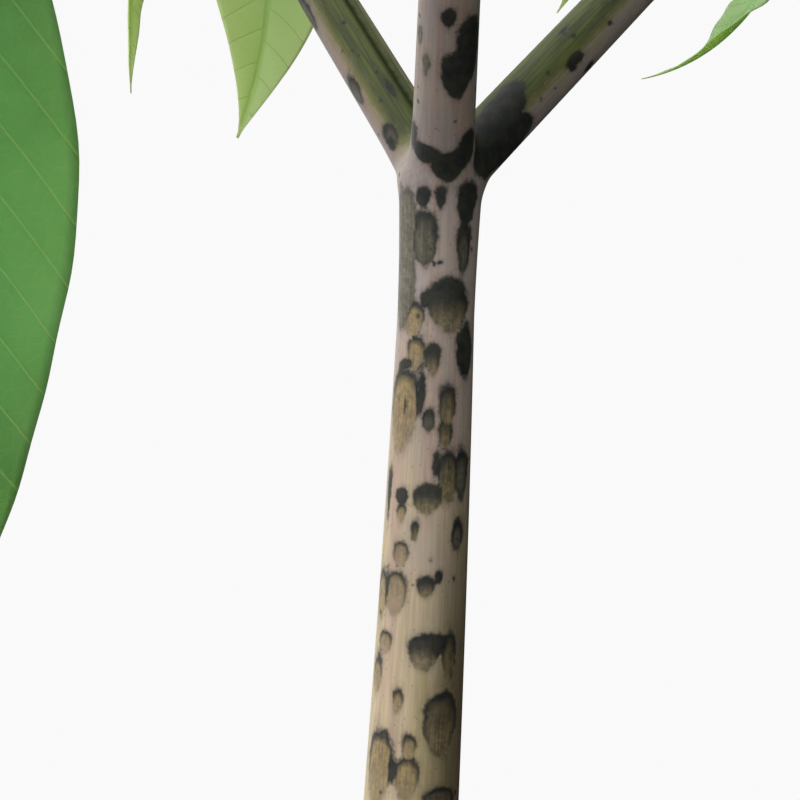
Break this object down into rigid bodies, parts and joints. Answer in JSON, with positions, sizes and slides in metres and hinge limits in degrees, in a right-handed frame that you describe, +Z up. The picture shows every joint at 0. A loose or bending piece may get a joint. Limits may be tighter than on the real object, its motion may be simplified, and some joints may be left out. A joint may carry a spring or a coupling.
{
  "type": "potted amorphophallus",
  "caption": "Potted amorphophallus: a mottled leaf stalk that forks under a crown of pointed leaflets, in soil in a plain clay pot.",
  "frame": {"origin": "centre of the pot's flat foot, on the surface that it stands on", "axes": "+Z up; the front arm of the leaf points along -Y, and the stalk leans a little towards +X"},
  "size_m": [0.5213, 0.5151, 0.6103],
  "materials": {
    "terracotta": "unglazed fired clay, matt, with a faint bloom of salts",
    "compost": "damp bark and peat compost, crumbly and matt",
    "tuber_skin": "dull brown corky skin",
    "dry_sheath": "dry papery scale leaf, matt, streaked lengthwise",
    "mottled_stalk": "smooth waxy skin, cream and pinkish grey with dark olive ringed blotches",
    "leaf_green": "satin leaf, mid green, paler beneath"
  },
  "bodies": {
    "root": {"pot": "terracotta", "soil": "compost", "tuber": "tuber_skin", "sheath_outer": "dry_sheath", "sheath_inner": "dry_sheath", "petiole": "mottled_stalk", "frond_front_a": "leaf_green", "frond_front_b": "leaf_green", "frond_right_a": "leaf_green", "frond_right_b": "leaf_green", "frond_left_a": "leaf_green", "frond_left_b": "leaf_green"}
  },
  "joints": []
}
